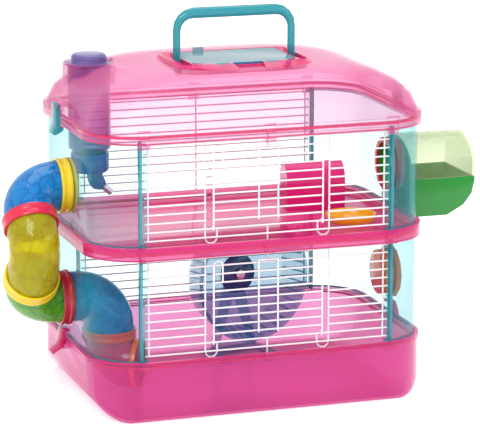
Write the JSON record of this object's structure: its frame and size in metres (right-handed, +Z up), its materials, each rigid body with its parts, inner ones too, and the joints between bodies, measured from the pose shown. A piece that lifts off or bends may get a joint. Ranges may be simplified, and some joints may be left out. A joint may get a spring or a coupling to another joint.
{
  "type": "hamster cage",
  "caption": "Clear-walled two-storey small-pet cage with wire fronts, domed roof with hatch and carrying handle, outside tube run, nest box, running wheel and water bottle.",
  "frame": {"origin": "centre of the flat underside of the base tray", "axes": "+X along the long side towards the nest box, -Y towards the wire doors, +Z up"},
  "size_m": [0.5727, 0.287, 0.45],
  "materials": {
    "pink_clear": "glossy translucent pink moulding",
    "pink_smoke": "glossy translucent dusky pink",
    "magenta_solid": "glossy magenta",
    "clear_aqua": "clear acrylic with a faint aqua tint",
    "teal_clear": "glossy translucent teal",
    "lid_clear": "glossy pale blue-grey translucent sheet",
    "white_wire": "white coated wire",
    "tube_blue": "glossy translucent blue",
    "tube_yellow": "glossy translucent pale yellow",
    "tube_green": "glossy translucent green",
    "tube_magenta": "glossy translucent magenta",
    "ring_yellow_solid": "glossy yellow",
    "ring_red_solid": "glossy red",
    "ring_orange_solid": "glossy orange",
    "coupler_green_solid": "glossy green",
    "nest_green": "glossy green",
    "nest_cover_clear": "clear pale yellow-green",
    "wheel_blue": "glossy translucent blue",
    "hub_blue": "glossy dark blue",
    "house_magenta": "satin magenta",
    "dish_yellow": "glossy yellow",
    "bottle_clear": "clear faint violet",
    "cap_blue": "glossy dark blue",
    "steel": "polished steel"
  },
  "bodies": {
    "cage": {"base_tray": "pink_smoke", "mid_deck": "pink_clear", "top_frame": "magenta_solid", "dome_roof": "pink_clear", "hatch_frame": "magenta_solid", "side_panel_lower_left": "clear_aqua", "side_panel_lower_right": "clear_aqua", "side_panel_upper_left": "clear_aqua", "side_panel_upper_right": "clear_aqua", "lower_front_grid": "white_wire", "upper_front_grid": "white_wire", "lower_back_grid": "white_wire", "upper_back_grid": "white_wire", "elbow_blue_outer": "tube_blue", "elbow_clear_yellow": "tube_yellow", "elbow_green": "tube_green", "elbow_blue_inner": "tube_blue", "ring_red": "ring_red_solid", "ring_yellow": "ring_yellow_solid", "wall_ring_upper_left": "ring_yellow_solid", "wall_ring_lower_left": "ring_red_solid", "port_sleeve_upper_left": "ring_yellow_solid", "coupler_green": "coupler_green_solid", "ring_inner_red": "ring_red_solid", "port_ring_red": "ring_red_solid", "nest_box": "nest_green", "wheel_axle": "steel", "wheel_stand": "wheel_blue"},
    "handle": {"carry_handle": "teal_clear"},
    "lid": {"hatch_lid": "lid_clear"},
    "lower_door": {"lower_front_door": "white_wire"},
    "upper_door": {"upper_front_door": "white_wire"},
    "roof_lever_left": {"roof_latch_left": "teal_clear"},
    "roof_lever_right": {"roof_latch_right": "teal_clear"},
    "tray_lever_left": {"tray_latch_left": "pink_clear"},
    "tray_lever_right": {"tray_latch_right": "pink_clear"},
    "wheel": {"running_wheel": "wheel_blue", "wheel_hub": "hub_blue"},
    "bottle": {"bottle_body": "bottle_clear", "bottle_cap": "cap_blue", "bottle_spout": "steel", "spout_ball": "steel"},
    "nest_cover": {"nest_box_lid": "nest_cover_clear"},
    "port_plug": {"blanking_cap": "ring_orange_solid"},
    "house": {"hide_house": "house_magenta"},
    "dish": {"food_dish": "dish_yellow"},
    "exit_tube": {"elbow_exit_magenta": "tube_magenta", "ring_exit_orange": "ring_orange_solid"}
  },
  "joints": [
    {"name": "handle_fold", "type": "hinge", "parent": "cage", "child": "handle", "pos_m": [0, -0.014, 0.388], "axis": [-1, 0, 0], "range_deg": [-78, 78]},
    {"name": "lid_swing", "type": "hinge", "parent": "cage", "child": "lid", "pos_m": [0, 0.0284, 0.39025], "axis": [-1, 0, 0], "range_deg": [0, 40]},
    {"name": "lower_door_swing", "type": "hinge", "parent": "cage", "child": "lower_door", "pos_m": [0, -0.1345, 0.0861], "axis": [1, 0, 0], "range_deg": [0, 130]},
    {"name": "upper_door_swing", "type": "hinge", "parent": "cage", "child": "upper_door", "pos_m": [0, -0.1345, 0.2181], "axis": [1, 0, 0], "range_deg": [0, 130]},
    {"name": "roof_lever_left_swing", "type": "hinge", "parent": "cage", "child": "roof_lever_left", "pos_m": [-0.2093, 0, 0.3435], "axis": [0, 1, 0], "range_deg": [0, 75]},
    {"name": "roof_lever_right_swing", "type": "hinge", "parent": "cage", "child": "roof_lever_right", "pos_m": [0.2093, 0, 0.3435], "axis": [0, -1, 0], "range_deg": [0, 75]},
    {"name": "tray_lever_left_swing", "type": "hinge", "parent": "cage", "child": "tray_lever_left", "pos_m": [-0.2085, 0, 0.062], "axis": [0, -1, 0], "range_deg": [0, 45]},
    {"name": "tray_lever_right_swing", "type": "hinge", "parent": "cage", "child": "tray_lever_right", "pos_m": [0.2085, 0, 0.062], "axis": [0, 1, 0], "range_deg": [0, 45]},
    {"name": "wheel_spin", "type": "hinge", "parent": "cage", "child": "wheel", "pos_m": [0.051, 0.06, 0.1035], "axis": [-0.2317, 0.9728, 0], "continuous": true},
    {"name": "bottle_lift", "type": "slide", "parent": "cage", "child": "bottle", "axis": [0, 0, 1], "range_m": [0, 0.1]},
    {"name": "nest_cover_pull", "type": "slide", "parent": "cage", "child": "nest_cover", "axis": [1, 0, 0], "range_m": [0, 0.06]},
    {"name": "port_plug_pull", "type": "slide", "parent": "cage", "child": "port_plug", "axis": [1, 0, 0], "range_m": [0, 0.03]},
    {"name": "house_lift", "type": "slide", "parent": "cage", "child": "house", "axis": [0, 0, 1], "range_m": [0, 0.05]},
    {"name": "dish_lift", "type": "slide", "parent": "cage", "child": "dish", "axis": [0, 0, 1], "range_m": [0, 0.05]},
    {"name": "exit_tube_swivel", "type": "hinge", "parent": "cage", "child": "exit_tube", "pos_m": [-0.14933, 0, 0], "axis": [0, 0, 1], "range_deg": [-35, 35]}
  ]
}
